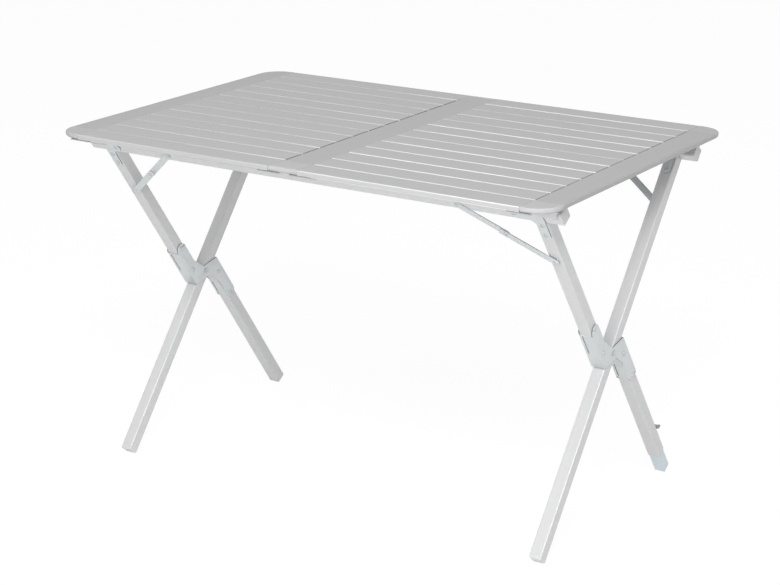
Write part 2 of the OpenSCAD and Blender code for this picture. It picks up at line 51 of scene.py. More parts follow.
# Millimetres from the table's middle to a leg, and from the front rail down its leg to the crossing.
LEG_X = 480.0
UPPER_RUN = 420.1257
Triple = tuple[float, float, float]
Profile = tuple[tuple[float, float], ...]
FaceTest = Callable[[bpy.types.MeshPolygon, bpy.types.Mesh], bool]
log = logging.getLogger("camp_table")


class Grain(Enum):
    """Direction in which a profile was drawn or a sheet was rolled."""

    LENGTH = (1.0, 0.0, 0.0)
    DEPTH = (0.0, 1.0, 0.0)
    FRONT_LEG = (0.0, -0.56826, 0.82285)
    BACK_LEG = (0.0, 0.62068, 0.78406)

    def turn(self) -> Triple:
        """Return the turn that lays a pattern's X axis along the grain."""
        return tuple(Vector((1, 0, 0)).rotation_difference(Vector(self.value)).to_euler())


class NodeBoard:
    """Places and links the nodes of one node tree."""

    def __init__(self, tree: bpy.types.NodeTree) -> None:
        """Keep the tree that the nodes go into."""
        self.tree = tree

    def feed(self, socket: bpy.types.NodeSocket, value: object) -> None:
        """Link an input to an output socket, or set it to a value.

        Args:
            socket: the input.
            value: an output socket or a plain value.
        """
        if isinstance(value, bpy.types.NodeSocket):
            self.tree.links.new(value, socket)
        else:
            socket.default_value = value

    def add(self, kind: str, settings: dict | None = None, **inputs: object) -> bpy.types.Node:
        """Add a node, set it up and feed its inputs.

        Args:
            kind: Blender's name of the node type.
            settings: properties of the node itself.
            inputs: values or output sockets by input name, with _ for a space.
        Returns:
            The new node.
        """
        node = self.tree.nodes.new(kind)
        for name, value in (settings or {}).items():
            setattr(node, name, value)
        for name, value in inputs.items():
            self.feed(node.inputs[name.replace("_", " ")], value)
        return node

    def math(self, operation: str, first: object, second: object = 0.0) -> bpy.types.NodeSocket:
        """Add a math node.

        Args:
            operation: Blender's name of the operation.
            first: its first value or socket.
            second: its second one, which some operations leave out.
        Returns:
            The socket of the result.
        """
        node = self.add("ShaderNodeMath", {"operation": operation})
        for socket, value in zip(node.inputs, (first, second)):
            self.feed(socket, value)
        return node.outputs[0]

    def mixed(self, first: bpy.types.NodeSocket, second: bpy.types.NodeSocket,
              share: float) -> bpy.types.NodeSocket:
        """Return two values mixed, with the first one's share given."""
        return self.math("ADD", self.math("MULTIPLY", first, share),
                         self.math("MULTIPLY", second, 1.0 - share))

    def axis(self, vector: bpy.types.NodeSocket, name: str) -> bpy.types.NodeSocket:
        """Return the X, Y or Z of a vector."""
        return self.add("ShaderNodeSeparateXYZ", None, Vector=vector).outputs[name]

    def laid(self, place: bpy.types.NodeSocket, grain: Grain, size: Triple) -> bpy.types.NodeSocket:
        """Return coordinates along and across the grain, counted in pattern sizes."""
        return self.add("ShaderNodeMapping", {"vector_type": "TEXTURE"}, Vector=place,
                        Rotation=grain.turn(), Scale=size).outputs["Vector"]

    def noise(self, vector: bpy.types.NodeSocket, **inputs: float) -> bpy.types.NodeSocket:
        """Return the value of a noise texture."""
        return self.add("ShaderNodeTexNoise", None, Vector=vector, **inputs).outputs["Fac"]

    def span(self, value: bpy.types.NodeSocket, low: object, high: object,
             start: float = 0.0, stop: float = 1.0) -> bpy.types.NodeSocket:
        """Spread a value's run from start to stop over low to high, and hold it at both ends.

        Args:
            value: the value.
            low: result at start and before it.
            high: result at stop and after it.
            start: first end of the run.
            stop: second end of the run.
        Returns:
            The socket of the result.
        """
        node = self.add("ShaderNodeMapRange", {"clamp": True}, Value=value, From_Min=start, From_Max=stop,
                        To_Min=low, To_Max=high)
        return node.outputs["Result"]


@dataclass
class SurfaceGroups:
    """Node groups that several finishes share, each built once.

    Attributes:
        fine_share: share of the fine lines in the tone of drawn metal, the rest being bands.
        band_stretch: how often the bands change, against the fine lines.
        drawn_contrast: range that the tone of drawn metal is spread over before it is clipped.
        blotch_share: share of the blotches in the tone of a cloud, the rest being grit.
        cloud_contrast: range that the tone of a cloud is spread over before it is clipped.
        streak_edge: noise values between which a rub mark fades in.
        patch_edge: noise values between which a patch of rub marks fades in.
        drawn: the group for drawn metal.
        cloud: the group for plated steel and mouldings.
        scuffs: the group for rub marks.
    """

    fine_share: float = 0.6
    band_stretch: Triple = (0.6, 0.05, 0.05)
    drawn_contrast: tuple[float, float] = (-0.5, 1.5)
    blotch_share: float = 0.75
    cloud_contrast: tuple[float, float] = (-0.4, 1.4)
    streak_edge: tuple[float, float] = (0.62, 0.72)
    patch_edge: tuple[float, float] = (0.5, 0.68)
    drawn: bpy.types.NodeTree = field(init=False)
    cloud: bpy.types.NodeTree = field(init=False)
    scuffs: bpy.types.NodeTree = field(init=False)

    def __post_init__(self) -> None:
        """Build the three groups."""
        self.drawn = self._drawn_grain()
        self.cloud = self._cloud()
        self.scuffs = self._scuffs()

    @staticmethod
    def _shell(name: str, outputs: Iterable[str]) -> tuple[NodeBoard, bpy.types.NodeSocket, bpy.types.Node]:
        """Start a group with a Vector input.

        Args:
            name: name of the group.
            outputs: names of its value outputs.
        Returns:
            The group's board, the Vector socket and the output node.
        """
        tree = bpy.data.node_groups.new(name, "ShaderNodeTree")
        tree.interface.new_socket("Vector", in_out="INPUT", socket_type="NodeSocketVector")
        for output in outputs:
            tree.interface.new_socket(output, in_out="OUTPUT", socket_type="NodeSocketFloat")
        board = NodeBoard(tree)
        start = board.add("NodeGroupInput")
        return board, start.outputs["Vector"], board.add("NodeGroupOutput")

    def _drawn_grain(self) -> bpy.types.NodeTree:
        """Draw fine lines along X with slow bands across them, as on drawn aluminium.

        Returns:
            The group.
        """
        board, vector, end = self._shell("drawn grain", ("Tone", "Height"))
        fine = board.noise(vector, Scale=1.0, Detail=4.0, Roughness=0.6)
        wide = board.add("ShaderNodeVectorMath", {"operation": "MULTIPLY"})
        board.feed(wide.inputs[0], vector)
        board.feed(wide.inputs[1], self.band_stretch)
        bands = board.noise(wide.outputs[0], Scale=1.0, Detail=2.0)
        tone = board.mixed(fine, bands, self.fine_share)
        board.feed(end.inputs["Tone"], board.span(tone, *self.drawn_contrast))
        board.feed(end.inputs["Height"], fine)
        return board.tree

    def _cloud(self) -> bpy.types.NodeTree:
        """Draw soft blotches and fine grit, as on plated steel and moulded plastic.

        Returns:
            The group.
        """
        board, vector, end = self._shell("cloud and grit", ("Tone", "Height"))
        blotch = board.noise(vector, Scale=0.25, Detail=3.0, Distortion=0.6)
        grit = board.add("ShaderNodeTexVoronoi", {"feature": "SMOOTH_F1"}, Vector=vector, Scale=3.0)
        tone = board.mixed(blotch, grit.outputs["Distance"], self.blotch_share)
        board.feed(end.inputs["Tone"], board.span(tone, *self.cloud_contrast))
        board.feed(end.inputs["Height"], grit.outputs["Distance"])
        return board.tree

    def _scuffs(self) -> bpy.types.NodeTree:
        """Draw a mask of sparse thin rub marks, in patches.

        Returns:
            The group.
        """
        board, vector, end = self._shell("rub marks", ("Mask",))
        streak = board.noise(vector, Scale=1.0, Detail=3.0, Distortion=0.2)
        patch = board.noise(vector, Scale=0.13, Detail=1.0)
        thin = board.span(streak, 0.0, 1.0, *self.streak_edge)
        where = board.span(patch, 0.0, 1.0, *self.patch_edge)
        board.feed(end.inputs["Mask"], board.math("MULTIPLY", thin, where))
        return board.tree


@dataclass(frozen=True)
class PaintedEdgeSheen:
    """Painted light on the slats' front faces and painted highlight on their rounded edges, as extra
    brightness.

    The painted highlight differs from slat to slat and is stronger on the right mat. Sizes are in metres.

    Attributes:
        lift: most extra brightness of the painted highlight on an edge.
        painted_front_light: extra brightness of a front face, as painted light.
        patch: size of a patch of painted highlight.
        patch_edge: noise values between which a patch fades in.
        left_share: share of the painted highlight that the left mat has.
        mat_change: X between which the left mat's share goes over to the right mat's.
        rounded_gain: how strongly the painted highlight grows as an edge turns upwards.
    """

    lift: float
    painted_front_light: float
    patch: Triple = (0.45, 0.06, 1.0)
    patch_edge: tuple[float, float] = (0.36, 0.64)
    left_share: float = 0.3
    mat_change: tuple[float, float] = (-0.2, 0.1)
    rounded_gain: float = 1.6

    def build(self, board: NodeBoard, place: bpy.types.NodeSocket) -> bpy.types.NodeSocket:
        """Add the nodes of the painted highlight and the painted front light.

        Args:
            board: the material's board.
            place: coordinates on the piece.
        Returns:
            The socket of the painted brightness.
        """
        normal = board.add("ShaderNodeTexCoord").outputs["Normal"]
        patch = board.noise(board.laid(place, Grain.LENGTH, self.patch), Scale=1.0, Detail=1.0)
        # Strength of the painted highlight, varying patch by patch and weaker on the left mat.
        rub = board.span(patch, 0.0, self.lift, *self.patch_edge)
        mat = board.span(board.axis(place, "X"), self.left_share, 1.0, *self.mat_change)
        # Front faces get the painted front light, and rounded edges get the painted highlight more as they
        # turn upwards.
        side = board.math("ABSOLUTE", board.axis(normal, "Y"))
        rounded = board.math("MULTIPLY", board.math("ABSOLUTE", board.axis(normal, "Z")), self.rounded_gain)
        painted_edge_highlight = board.math("MULTIPLY", rounded, board.math("MULTIPLY", rub, mat))
        return board.math("MULTIPLY", side, board.math("ADD", painted_edge_highlight, self.painted_front_light))


@dataclass(frozen=True)
class Finish:
    """A surface finish: its colour, gloss and the scale of its pattern.

    Colours are linear. Sizes are in metres, along and across the grain.

    Attributes:
        name: name of the material.
        colour: its middle colour.
        metallic: how metallic it is, from 0 to 1.
        roughness: its middle roughness.
        tone_swing: most that the colour's brightness changes either way.
        rough_swing: most that the roughness changes either way.
        pattern: size of the pattern.
        relief: height of the pattern.
        drawn: True for drawn lines, False for clouds and grit.
        scuff: extra brightness of rub marks.
        painted_edge_sheen: painted highlight on rounded edges and painted light on front faces, where it
            shows.
        scuff_size: size of the rub marks.
        bump_strength: share of the relief that shows.
    """

    name: str
    colour: Triple
    metallic: float
    roughness: float
    tone_swing: float
    rough_swing: float
    pattern: tuple[float, float]
    relief: float
    drawn: bool = False
    scuff: float = 0.0
    painted_edge_sheen: PaintedEdgeSheen | None = None
    scuff_size: tuple[float, float] = (0.03, 0.0016)
    bump_strength: float = 0.6

    def make(self, groups: SurfaceGroups, grain: Grain) -> bpy.types.Material:
        """Build this finish as a material.

        Args:
            groups: the shared node groups.
            grain: direction of the pattern.
        Returns:
            The material.
        """
        material = bpy.data.materials.new("%s %s" % (self.name, grain.name.lower()))
        material.use_nodes = True
        board = NodeBoard(material.node_tree)
        place = board.add("ShaderNodeTexCoord").outputs["Object"]
        surface = self._group(board, groups.drawn if self.drawn else groups.cloud, place, grain, self.pattern)
        rubbed = self._group(board, groups.scuffs, place, grain, self.scuff_size)
        shade = board.span(surface["Tone"], 1.0 - self.tone_swing, 1.0 + self.tone_swing)
        lift = board.math("MULTIPLY", rubbed["Mask"], self.scuff)
        # Painted highlight on the slats' rounded edges and painted light on their front faces, added to the
        # rub marks.
        if self.painted_edge_sheen:
            lift = board.math("ADD", lift, self.painted_edge_sheen.build(board, place))
        colour = board.add("ShaderNodeVectorMath", {"operation": "SCALE"},
                           Scale=board.math("ADD", shade, lift))
        colour.inputs[0].default_value = self.colour
        gloss = board.span(surface["Tone"], self.roughness - self.rough_swing,
                           self.roughness + self.rough_swing)
        bump = board.add("ShaderNodeBump", None, Height=surface["Height"], Distance=self.relief,
                         Strength=self.bump_strength)
        shader = material.node_tree.nodes["Principled BSDF"]
        board.feed(shader.inputs["Base Color"], colour.outputs[0])
        board.feed(shader.inputs["Roughness"], gloss)
        board.feed(shader.inputs["Normal"], bump.outputs["Normal"])
        board.feed(shader.inputs["Metallic"], self.metallic)
        return material

    @staticmethod
    def _group(board: NodeBoard, group: bpy.types.NodeTree, place: bpy.types.NodeSocket, grain: Grain,
               size: tuple[float, float]) -> bpy.types.NodeOutputs:
        """Place a shared group in the material.

        Args:
            board: the material's board.
            group: the group.
            place: coordinates on the piece.
            grain: direction of the pattern.
            size: size of the pattern along and across the grain.
        Returns:
            The group's outputs.
        """
        along, across = size
        vector = board.laid(place, grain, (along, across, across))
        return board.add("ShaderNodeGroup", {"node_tree": group}, Vector=vector).outputs


# The slats' finish carries a painted highlight on their rounded edges and painted light on their front faces.
TOP_ALUMINIUM = Finish(
    "satin top aluminium", (0.435, 0.435, 0.44), metallic=0.25, roughness=0.44, tone_swing=0.035,
    rough_swing=0.05, pattern=(0.35, 0.0009), relief=0.00003, drawn=True, scuff=0.05,
    painted_edge_sheen=PaintedEdgeSheen(lift=0.9, painted_front_light=0.2))
BAR_ALUMINIUM = Finish(
    "satin bar aluminium", (0.405, 0.405, 0.41), metallic=0.25, roughness=0.45, tone_swing=0.03,
    rough_swing=0.05, pattern=(0.35, 0.0009), relief=0.00003, drawn=True, scuff=0.05)
TUBE_ALUMINIUM = Finish(
    "satin tube aluminium", (0.635, 0.637, 0.643), metallic=0.12, roughness=0.36, tone_swing=0.04,
    rough_swing=0.05, pattern=(0.25, 0.0008), relief=0.00003, drawn=True, scuff=0.05)
ZINC_STEEL = Finish(
    "zinc plated steel", (0.625, 0.655, 0.664), metallic=0.35, roughness=0.38, tone_swing=0.06,
    rough_swing=0.09, pattern=(0.006, 0.005), relief=0.00004, scuff=0.12)
# Darker steel for the plates' rims; on the hub brackets' seam walls it is painted shade of the seam gaps.
DARK_RIM_STEEL = Finish(
    "dark steel rim", (0.18, 0.185, 0.19), metallic=0.5, roughness=0.5, tone_swing=0.2,
    rough_swing=0.08, pattern=(0.004, 0.002), relief=0.00006)
STAY_RIM = Finish(
    "plated steel rim", (0.6, 0.61, 0.615), metallic=0.4, roughness=0.45, tone_swing=0.04,
    rough_swing=0.05, pattern=(0.004, 0.002), relief=0.00005)
RIVET_STEEL = Finish(
    "rivet steel", (0.55, 0.572, 0.582), metallic=0.4, roughness=0.34, tone_swing=0.08,
    rough_swing=0.06, pattern=(0.004, 0.004), relief=0.00003, scuff=0.1)
LIGHT_PLASTIC = Finish(
    "light grey moulding", (0.65, 0.65, 0.66), metallic=0.0, roughness=0.5, tone_swing=0.03,
    rough_swing=0.05, pattern=(0.0012, 0.0012), relief=0.00005)
CAP_PLASTIC = Finish(
    "matt grey moulding", (0.495, 0.495, 0.5), metallic=0.0, roughness=0.75, tone_swing=0.03,
    rough_swing=0.05, pattern=(0.0012, 0.0012), relief=0.00005)
FOOT_PLASTIC = Finish(
    "bluish white moulding", (0.64, 0.715, 0.76), metallic=0.0, roughness=0.42, tone_swing=0.03,
    rough_swing=0.05, pattern=(0.0012, 0.0012), relief=0.00004)
KNOB_PLASTIC = Finish(
    "dark grey moulding", (0.27, 0.27, 0.28), metallic=0.0, roughness=0.45, tone_swing=0.08,
    rough_swing=0.06, pattern=(0.001, 0.001), relief=0.00006)


@dataclass
class Dresser:
    """Gives pieces their finishes, and keeps each material for reuse."""

    groups: SurfaceGroups
    made: dict[tuple[str, Grain], bpy.types.Material] = field(default_factory=dict)

    def material(self, finish: Finish, grain: Grain) -> bpy.types.Material:
        """Find or make the material of a finish with its grain in one direction.

        Args:
            finish: the finish.
            grain: direction of its pattern.
        Returns:
            The material.
        """
        key = (finish.name, grain)
        if key not in self.made:
            self.made[key] = finish.make(self.groups, grain)
        return self.made[key]

    def dress(self, node: str, finish: Finish, grain: Grain) -> None:
        """Put a finish on all material slots of a CAD node.

        Args:
            node: name of the node.
            finish: its finish.
            grain: direction of the finish's pattern.
        """
        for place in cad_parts[node].material_slots:
            place.material = self.material(finish, grain)
        log.info("%s: %s", node, finish.name)

    def coat(self, piece: bpy.types.Object, grain: Grain, *finishes: Finish) -> None:
        """Give a new piece its finishes.

        Args:
            piece: the piece.
            grain: direction of the finishes' patterns.
            finishes: the finishes, in the order of the faces' material numbers.
        """
        piece.data.materials.clear()
        for finish in finishes:
            piece.data.materials.append(self.material(finish, grain))
        log.info("%s: %s", piece.name, ", ".join(finish.name for finish in finishes))


@dataclass(frozen=True)
class LeaningPlane:
    """Plane of one frame half: x along the table, y from the outer to the inner face, z up the leg.

    Its zero point is the middle of the half's rail. Sizes are in millimetres, the lean in degrees.
    """

    back: bool
    lean: float
    rail_y: float = 262.0
    rail_z: float = 658.5723

    def matrix(self) -> Matrix:
        """Work out the way from this plane to the scene.

        Returns:
            The matrix from millimetres in the plane to metres in the scene.
        """
        turn = math.radians(-self.lean if self.back else self.lean)
        flip = Matrix.Diagonal((1.0, -1.0 if self.back else 1.0, 1.0, 1.0))
        shift = Matrix.Translation((0.0, self.rail_y if self.back else -self.rail_y, self.rail_z))
        return Matrix.Scale(MM, 4) @ shift @ Matrix.Rotation(turn, 4, "X") @ flip

    def outward(self) -> Vector:
        """Return the direction that the outer faces look in."""
        return (self.matrix().to_3x3() @ Vector((0.0, -1.0, 0.0))).normalized()


FRONT_PLANE = LeaningPlane(False, 34.738594)
BACK_PLANE = LeaningPlane(True, 38.483638)


class Facing(Enum):
    """Way that a turned piece points in its frame half's plane."""

    OUT = ("X", math.radians(90.0))
    IN = ("X", math.radians(-90.0))
    RIGHT = ("Y", math.radians(90.0))
    LEFT = ("Y", math.radians(-90.0))

    def matrix(self) -> Matrix:
        """Return the turn that lays the piece's own +Z in this direction."""
        axis, angle = self.value
        return Matrix.Rotation(angle, 4, axis)

    def at(self, plane: LeaningPlane, spot: Triple) -> Matrix:
        """Return the place of a turned piece at a spot of a frame half's plane."""
        return plane.matrix() @ Matrix.Translation(spot) @ self.matrix()


class Bench:
    """Modelling steps that several sub-assemblies share. Angles are in degrees."""

    weld: float = 0.01 * MM
    flat_angle: float = 0.5
    sharp_angle: float = 40.0

    @staticmethod
    def pick(piece: bpy.types.Object) -> None:
        """Select one object alone and make it active.

        Args:
            piece: the object.
        """
        bpy.ops.object.select_all(action="DESELECT")
        piece.select_set(True)
        bpy.context.view_layer.objects.active = piece

    @staticmethod
    def merged_copy(node: str, name: str) -> bpy.types.Object:
        """Copy a CAD node and join its triangles to flat faces.

        Args:
            node: name of the CAD node.
            name: name of the copy.
        Returns:
            The copy, in the node's place.
        """
        copy = bpy.data.objects.new(name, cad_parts[node].data.copy())
        bpy.context.scene.collection.objects.link(copy)
        Bench.pick(copy)
        bpy.ops.object.mode_set(mode="EDIT")
        bpy.ops.mesh.select_all(action="SELECT")
        bpy.ops.mesh.remove_doubles(threshold=Bench.weld)
        bpy.ops.mesh.dissolve_limited(angle_limit=math.radians(Bench.flat_angle))
        bpy.ops.object.mode_set(mode="OBJECT")
        return copy

    @staticmethod
    def break_edges(piece: bpy.types.Object, width: float, steps: int) -> None:
        """Round all sharp edges of a piece a little.

        Args:
            piece: the piece.
            width: width of the rounding, in the unit of the piece's mesh.
            steps: faces across the rounding.
        """
        Bench.pick(piece)
        bpy.ops.object.mode_set(mode="EDIT")
        bpy.ops.mesh.select_mode(type="EDGE")
        bpy.ops.mesh.select_all(action="DESELECT")
        bpy.ops.mesh.edges_select_sharp(sharpness=math.radians(Bench.sharp_angle))
        bpy.ops.mesh.bevel(offset=width, segments=steps, affect="EDGES", clamp_overlap=True)
        bpy.ops.object.mode_set(mode="OBJECT")

    @staticmethod
    def smooth(piece: bpy.types.Object, angle: float) -> None:
        """Shade a piece smoothly, apart from edges sharper than the angle."""
        Bench.pick(piece)
        bpy.ops.object.shade_smooth_by_angle(angle=math.radians(angle))

    @staticmethod
    def turned(name: str, profile: Profile, sides: int) -> bpy.types.Object:
        """Raise a turned shape from a disc, ring by ring.

        Args:
            name: name of the new object.
            profile: radius and height of each ring, in millimetres, from the base to the top.
            sides: corners of each ring.
        Returns:
            The shape in millimetres, standing on the origin along +Z.
        """
        bpy.ops.object.select_all(action="DESELECT")
        radius, level = profile[0]
        bpy.ops.mesh.primitive_circle_add(vertices=sides, radius=radius, fill_type="NGON",
                                          location=(0.0, 0.0, level))
        piece = bpy.context.active_object
        piece.name = name
        bpy.ops.object.transform_apply(location=True, rotation=True, scale=True)
        bpy.ops.object.mode_set(mode="EDIT")
        bpy.ops.mesh.select_mode(type="FACE")
        bpy.ops.mesh.select_all(action="SELECT")
        for next_radius, next_level in profile[1:]:
            bpy.ops.mesh.extrude_region_move(
                TRANSFORM_OT_translate={"value": (0.0, 0.0, next_level - level)})
            ratio = next_radius / radius
            bpy.ops.transform.resize(value=(ratio, ratio, 1.0), center_override=(0.0, 0.0, next_level))
            radius, level = next_radius, next_level
        bpy.ops.mesh.select_all(action="SELECT")
        bpy.ops.mesh.normals_make_consistent(inside=False)
        bpy.ops.object.mode_set(mode="OBJECT")
        return piece

    @staticmethod
    def spread(master: bpy.types.Object, places: Iterable[Matrix]) -> list[bpy.types.Object]:
        """Put a copy of a master at each place and remove the master.

        Args:
            master: the shape to repeat, which is used up.
            places: place of each copy.
        Returns:
            The copies, each with its own mesh.
        """
        copies = []
        for place in places:
            mesh = master.data.copy()
            mesh.transform(place)
            if place.determinant() < 0.0:
                mesh.flip_normals()
            copy = bpy.data.objects.new(master.name, mesh)
            bpy.context.scene.collection.objects.link(copy)
            copies.append(copy)
        bpy.data.objects.remove(master, do_unlink=True)
        return copies

    @staticmethod
    def joined(name: str, parts: list[bpy.types.Object]) -> bpy.types.Object:
        """Join several objects to one piece.

        Args:
            name: name of the piece.
            parts: the objects, which are used up.
        Returns:
            The piece.
        """
        bpy.ops.object.select_all(action="DESELECT")
        for part in parts:
            part.select_set(True)
        bpy.context.view_layer.objects.active = parts[0]
        bpy.ops.object.join()
        piece = bpy.context.active_object
        piece.name = name
        piece.data.name = name
        return piece

    @staticmethod
    def hang(piece: bpy.types.Object, body: str, slot: str, *nodes: str) -> None:
        """Let a piece ride on a body in place of CAD nodes.

        Args:
            piece: the finished piece.
            body: name of the body that carries it.
            slot: the record's material slot; not used.
            nodes: the CAD nodes that it stands for.
        """
        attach(piece, body)
        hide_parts(*nodes)


@dataclass
class PressedSteel:
    """Stamped plates whose cut rims are darker than their plated faces; on the hub brackets' seam walls the
    darker finish is painted shade of the seam gaps.

    Attributes:
        rim: finish of the rims.
        broken: width of the broken edges in millimetres.
        broken_steps: faces across a broken edge.
        smooth_angle: edges sharper than this many degrees stay sharp.
        rim_widths: least and greatest width of a bracket's rims in millimetres.
        ear_lean: most that the rim of a bracket's ear faces along X, from 0 to 1.
        seam_lean: least that the wall of a bracket's seam faces along X, from 0 to 1.
    """

    rim: Finish = DARK_RIM_STEEL
    broken: float = 0.25
    broken_steps: int = 2
    smooth_angle: float = 35.0
    rim_widths: tuple[float, float] = (0.8, 2.1)
    ear_lean: float = 0.1
    seam_lean: float = 0.5

    def build(self, dresser: Dresser, node: str, body: str, grain: Grain, is_rim: FaceTest) -> None:
        """Replace a node of stamped plates by a copy with broken edges and dark rims.

        Args:
            dresser: the source of materials.
            node: name of the CAD node.
            body: name of the body that carries it.
            grain: direction of the steel's pattern.
            is_rim: test for the faces that were sheared.
        """
        piece = Bench.merged_copy(node, "%s_pressed" % node)
        rims = [is_rim(face, piece.data) for face in piece.data.polygons]
        dresser.coat(piece, grain, ZINC_STEEL, self.rim)
        for face, rim in zip(piece.data.polygons, rims):
            face.material_index = int(rim)
        Bench.break_edges(piece, self.broken * MM, self.broken_steps)
        Bench.smooth(piece, self.smooth_angle)
        Bench.hang(piece, body, "zinc_steel", node)

    @staticmethod
    def edge_on(outward: Vector, most: float = 0.3) -> FaceTest:
        """Return a test for faces that stand about square to plates that face outward."""
        return lambda face, mesh: abs(face.normal.dot(outward)) < most

    def narrow(self, face: bpy.types.MeshPolygon, mesh: bpy.types.Mesh) -> bool:
        """Tell whether a bracket's face is the rim of an ear or the wall of a seam; a seam wall's dark finish
        is painted shade.

        Args:
            face: the face.
            mesh: the mesh that it belongs to.
        Returns:
            True for a rim or a wall.
        """
        least, most = (width * MM for width in self.rim_widths)
        points = [mesh.vertices[index].co for index in face.vertices]
        longest = max((point - before).length for point, before in zip(points, points[-1:] + points))
        across = max(point.x for point in points) - min(point.x for point in points)
        ear = abs(face.normal.x) < self.ear_lean and least < across < most
        seam = abs(face.normal.x) > self.seam_lean and least < face.area / longest < most
        return ear or seam


@dataclass
class RivetWork:
    """Rivets, stay pivots and crossing pivots, with their mandrels and staked ends.

    Sizes are in millimetres. A profile gives the radius and height of each ring.

    Attributes:
        face: from a tube's middle to its outer or inner face.
        plate: thickness of a hinge plate.
        stay: thickness of a stay's link.
        stay_stack: height of the stay's two links at its elbow and on the leg.
        arms: from the left and right leg to the fold rivet on the rail.
        reaches: from the left and right leg to the stay's pivot on the rail.
        drops: from the rail to the hinge plates' rivets on a leg.
        stay_drops: from the rail to the stay's pivot on the left and right leg.
        hub_offset: half of the step from a split leg's upper tube to its lower one.
        hub_rows: from the crossing to a bracket's rivets, up and down the leg.
        hub_half: from a leg's middle to the base of a bracket's rivets.
        pivot_half: from a leg's middle to the base of a crossing pivot's head.
        rail_reach: from the back rail down its leg to the crossing.
        sides: corners around a head.
        smooth_angle: edges sharper than this many degrees stay sharp.
        head: profile of a domed rivet with its mandrel.
        flat_head: profile of a rivet's staked end.
        spacer: profile of the bush between stay and leg.
        pivot: profile of a crossing pivot's head.
    """

    face: float = 12.0
    plate: float = 1.6
    stay: float = 2.0
    stay_stack: float = 4.05
    arms: tuple[float, float] = (20.0, 50.0)
    reaches: tuple[float, float] = (148.0, 164.0)
    drops: tuple[float, float] = (21.0, 46.0)
    stay_drops: tuple[float, float] = (129.0, 115.0)
    hub_offset: float = 27.5
    hub_rows: tuple[float, float] = (35.0, 104.0)
    hub_half: float = 14.1
    pivot_half: float = 14.4
    rail_reach: float = 421.0248
    sides: int = 24
    smooth_angle: float = 40.0
    head: Profile = ((4.5, 0.0), (4.5, 0.3), (4.15, 0.75), (3.3, 1.15), (2.2, 1.36), (1.5, 1.4),
                     (1.35, 0.8), (1.1, 0.8), (1.0, 1.1), (0.55, 1.2))
    flat_head: Profile = ((4.5, 0.0), (4.5, 0.35), (4.1, 0.75), (3.2, 0.95), (2.5, 0.9), (2.0, 0.4),
                          (0.8, 0.3))
    spacer: Profile = ((4.5, 0.0), (4.3, 0.1), (4.3, 1.95), (4.5, 2.05))
    pivot: Profile = ((5.5, 0.0), (5.5, 0.4), (5.0, 0.9), (3.9, 1.28), (2.7, 1.4), (2.3, 1.4),
                      (1.9, 0.9), (0.8, 0.75))

    def half(self, dresser: Dresser, name: str, plane: LeaningPlane, grain: Grain) -> None:
        """Set the rivets of one frame half.

        Args:
            dresser: the source of materials.
            name: front or back.
            plane: the half's plane.
            grain: direction of the steel's pattern.
        """
        heads, flats, spacers = [], [], []
        for side, arm, reach, stay_drop in zip(SIDES, self.arms, self.reaches, self.stay_drops):
            middle = side * LEG_X
            through = [(middle - side * arm, 0.0)] + [(middle, -drop) for drop in self.drops]
            rail, leg = (middle - side * reach, 0.0), (middle, -stay_drop)
            elbow = ((rail[0] + leg[0]) / 2.0, (rail[1] + leg[1]) / 2.0)
            heads += [(spot, -self.face - self.plate) for spot in through]
            heads += [(rail, -self.face - self.stay), (leg, -self.face - self.stay_stack),
                      (elbow, -self.face - self.stay_stack)]
            flats += [(spot, self.face + self.plate) for spot in through] + [(elbow, -self.face)]
            spacers.append((leg, -self.face))
        parts: list[bpy.types.Object] = []
        for profile, spots, facing in ((self.head, heads, Facing.OUT), (self.flat_head, flats, Facing.IN),
                                       (self.spacer, spacers, Facing.OUT)):
            parts += self._set(profile, [facing.at(plane, (x, y, z)) for (x, z), y in spots])
        body = "%s_frame" % name
        self._finish(dresser, parts, "%s_rivet_heads" % body, grain, body, "%s_rivets" % body)

    def crossing(self, dresser: Dresser) -> None:
        """Set the rivets of the hub brackets and the crossing pivots.

        Args:
            dresser: the source of materials.
        """
        rivets, pivots = [], []
        for side in SIDES:
            for end, facing in ((1.0, Facing.RIGHT), (-1.0, Facing.LEFT)):
                for up in SIDES:
                    for row in self.hub_rows:
                        spot = (side * LEG_X + end * self.hub_half, self.hub_offset * (1 - up),
                                up * row - UPPER_RUN)
                        rivets.append(facing.at(FRONT_PLANE, spot))
                spot = (side * LEG_X + end * self.pivot_half, 0.0, -self.rail_reach)
                pivots.append(facing.at(BACK_PLANE, spot))
        self._finish(dresser, self._set(self.head, rivets), "hub_rivet_heads", Grain.FRONT_LEG,
                     "front_frame", "hub_rivets")
        self._finish(dresser, self._set(self.pivot, pivots), "hub_pivot_heads", Grain.BACK_LEG,
                     "back_frame", "hub_pivots")

    def _set(self, profile: Profile, places: list[Matrix]) -> list[bpy.types.Object]:
        """Return one turned piece of a profile at each place."""
        return Bench.spread(Bench.turned("rivet_master", profile, self.sides), places)

    def _finish(self, dresser: Dresser, parts: list[bpy.types.Object], name: str, grain: Grain,
                body: str, node: str) -> None:
        """Join, dress and hang one set of rivets.

        Args:
            dresser: the source of materials.
            parts: the single rivets, which are used up.
            name: name of the joined piece.
            grain: direction of the steel's pattern.
            body: name of the body that carries it.
            node: the CAD node that it stands for.
        """
        piece = Bench.joined(name, parts)
        dresser.coat(piece, grain, RIVET_STEEL)
        Bench.smooth(piece, self.smooth_angle)
        Bench.hang(piece, body, "zinc_steel", node)


